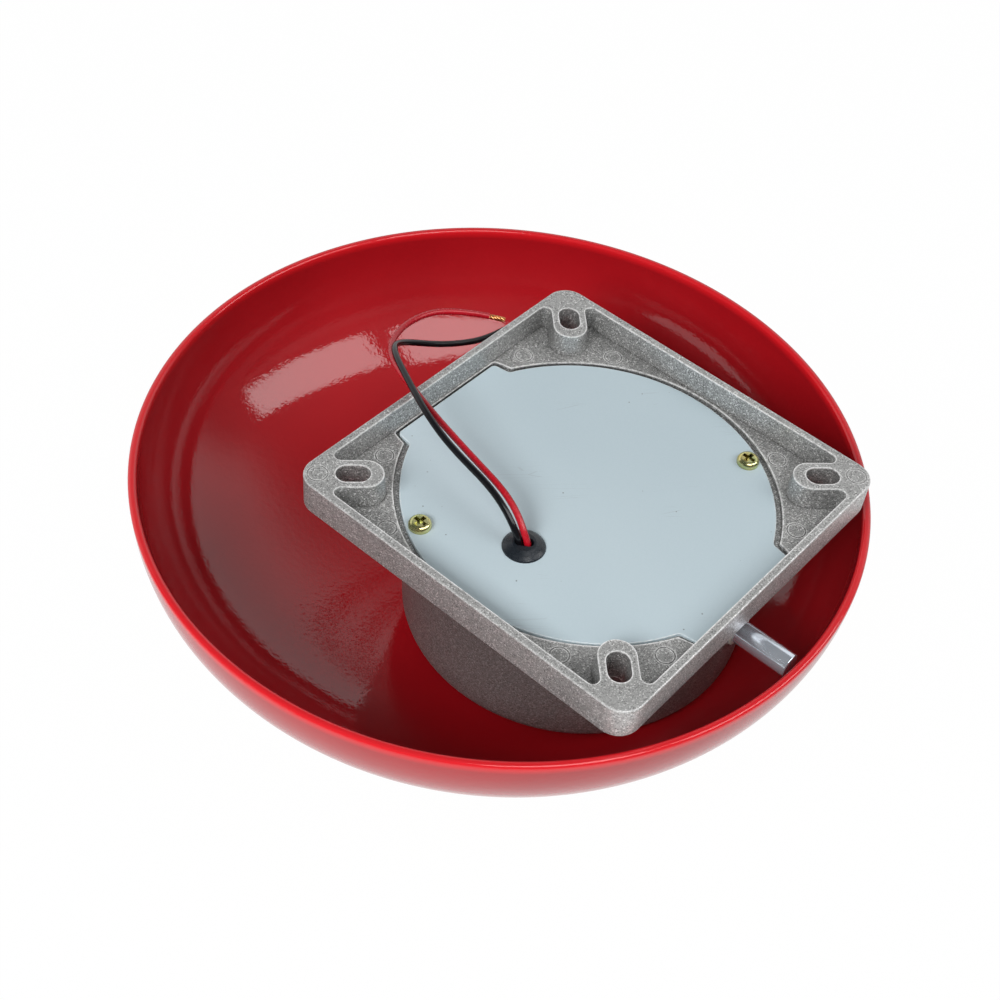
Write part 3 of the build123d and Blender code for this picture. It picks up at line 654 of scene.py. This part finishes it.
# ---------------------------------------------------------------- floor
FLOOR_HALF = 3
FLOOR_GAP = 0.0004          # below the lowest point of the bell
FLOOR_GREY = 0.86
FLOOR_GLOW = 0.68           # share of plain white glow in the floor
FLOOR_GLOW_CAMERA = 0.31    # further share seen by the camera


def add_floor():
    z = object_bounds()[0][2] - FLOOR_GAP
    bm = bmesh.new()
    bm.faces.new([bm.verts.new((x * FLOOR_HALF, y * FLOOR_HALF, z))
                  for x, y in ((-1, -1), (1, -1), (1, 1), (-1, 1))])
    floor = mesh_object("floor", bm)
    material = bpy.data.materials.new("floor_pale")
    nodes = Nodes(material, "OutputMaterial")
    diffuse = nodes.node("BsdfDiffuse", {"Color": (FLOOR_GREY,) * 3}).outputs[0]
    camera_ray = nodes.node("LightPath").outputs["Is Camera Ray"]
    share = nodes.math("MULTIPLY_ADD", camera_ray, FLOOR_GLOW_CAMERA, FLOOR_GLOW)
    top = nodes.mix_shader(share, diffuse, nodes.glow("Emission", 1.0))
    # clear from below
    below = nodes.node("NewGeometry").outputs["Backfacing"]
    clear = nodes.node("BsdfTransparent").outputs[0]
    nodes.show(nodes.mix_shader(below, top, clear))
    floor.data.materials.append(material)


add_floor()

# ---------------------------------------------------------------- world
# brightness in reflections off and on the backdrop, in diffuse light, and to the camera
WORLD_DIM, WORLD_BACKDROP, WORLD_DIFFUSE, WORLD_CAMERA = 0.12, 0.90, 0.12, 1.0


def add_world():
    """A white backdrop behind the bell (+Y), a dimmer room elsewhere."""
    world = bpy.data.worlds.new("studio")
    bpy.context.scene.world = world
    nodes = Nodes(world, "OutputWorld")
    direction = nodes.node("SeparateXYZ", {0: nodes.node("TexCoord").outputs["Generated"]})
    smooth = {"interpolation_type": "SMOOTHSTEP"}
    facing = nodes.remap(direction.outputs["Y"], over=(0.15, 0.55), **smooth)
    low = nodes.remap(direction.outputs["Z"], over=(0.88, 0.55), **smooth)
    level = nodes.remap(nodes.times(facing, low), over=(0.0, 1.0),
                        to=(WORLD_DIM, WORLD_BACKDROP), **smooth)
    ray = nodes.node("LightPath").outputs
    seen = nodes.mix_shader(ray["Is Glossy Ray"], nodes.glow("Background", WORLD_DIFFUSE),
                            nodes.glow("Background", level))
    nodes.show(nodes.mix_shader(ray["Is Camera Ray"], seen,
                                nodes.glow("Background", WORLD_CAMERA)))


add_world()

# ---------------------------------------------------------------- lights
# flat lit panels: name, radiance, corners (x, y, z)
WINDOWS = [
    ("window_right", 4.3, [
        (0.939, 0.106, 0.339), (0.576, -0.416, 0.697),
        (0.382, -0.113, 0.944), (0.751, 0.241, 0.645)]),
    ("window_front", 4.8, [
        (0.467, -0.453, 0.757), (0.312, -0.617, 0.713), (-0.021, -0.602, 0.8),
        (-0.10, -0.42, 0.95), (0.073, -0.22, 1.001), (0.294, -0.095, 0.982)]),
    ("window_left", 1.15, [
        (-0.748, -0.647, 0.186), (-0.896, -0.483, -0.02),
        (-1.016, 0.097, 0.188), (-0.947, -0.305, 0.232)]),
]
# name, azimuth (degrees clockwise from +Y, seen from above), elevation (degrees),
# distance, width, height, radiance
SOFTBOXES = [
    ("front", 196, 52, 1.25, 0.85, 0.55, 2.4),
    ("right", 106, 42, 1.15, 0.66, 0.56, 3.3),
    ("left", 222, 38, 1.25, 0.70, 0.45, 11.6),
    ("front_low", 178, 24, 1.3, 0.90, 0.30, 1.6),
]
LIGHT_AIM = Vector((-0.02, 0.02, -0.02))


def add_window(name, radiance, corners):
    """Panel seen in glossy surfaces only."""
    bm = bmesh.new()
    ring = [bm.verts.new(corner) for corner in corners]
    middle = bm.verts.new(sum((Vector(corner) for corner in corners), Vector()) / len(corners))
    for k in range(len(ring)):
        bm.faces.new((ring[k], ring[(k + 1) % len(ring)], middle))
    panel = mesh_object(name, bm)
    material = bpy.data.materials.new(name)
    nodes = Nodes(material, "OutputMaterial")
    nodes.show(nodes.glow("Emission", radiance))
    panel.data.materials.append(material)
    panel.visible_camera = False
    panel.visible_diffuse = False
    panel.visible_shadow = False


def add_softbox(name, azimuth, elevation, distance, width, height, radiance):
    """Rectangle of even light aimed at the bell, hidden from glossy surfaces."""
    azimuth, elevation = math.radians(azimuth), math.radians(elevation)
    direction = Vector((math.sin(azimuth) * math.cos(elevation),
                        math.cos(azimuth) * math.cos(elevation),
                        math.sin(elevation)))
    light = bpy.data.lights.new(name, "AREA")
    light.shape = "RECTANGLE"
    light.size, light.size_y = width, height
    light.energy = radiance * width * height * math.pi
    lamp = add_object(name, light)
    lamp.location = LIGHT_AIM + direction * distance
    lamp.rotation_mode = "QUATERNION"
    lamp.rotation_quaternion = (-direction).to_track_quat("-Z", "Y")
    lamp.visible_glossy = False


for window in WINDOWS:
    add_window(*window)
for softbox in SOFTBOXES:
    add_softbox(*softbox)

# ---------------------------------------------------------------- camera
CAMERA_PLACE = Matrix((
    (0.995168093, -0.003685481, -0.098116689, -0.06270964),
    (-0.063658136, 0.736593331, -0.673333428, -0.27244618),
    (0.074753657, 0.676325869, 0.73279957, 0.28676534),
    (0, 0, 0, 1)))


def add_camera():
    lens = bpy.data.cameras.new("camera")
    lens.sensor_width = 36.0
    lens.lens = 55.876
    lens.clip_start, lens.clip_end = 0.01, 20
    camera = add_object("camera", lens)
    camera.matrix_world = CAMERA_PLACE
    scene = bpy.context.scene
    scene.camera = camera
    scene.view_settings.view_transform = "Standard"
    scene.view_settings.look = "None"
    scene.view_settings.exposure = 0.0


add_camera()
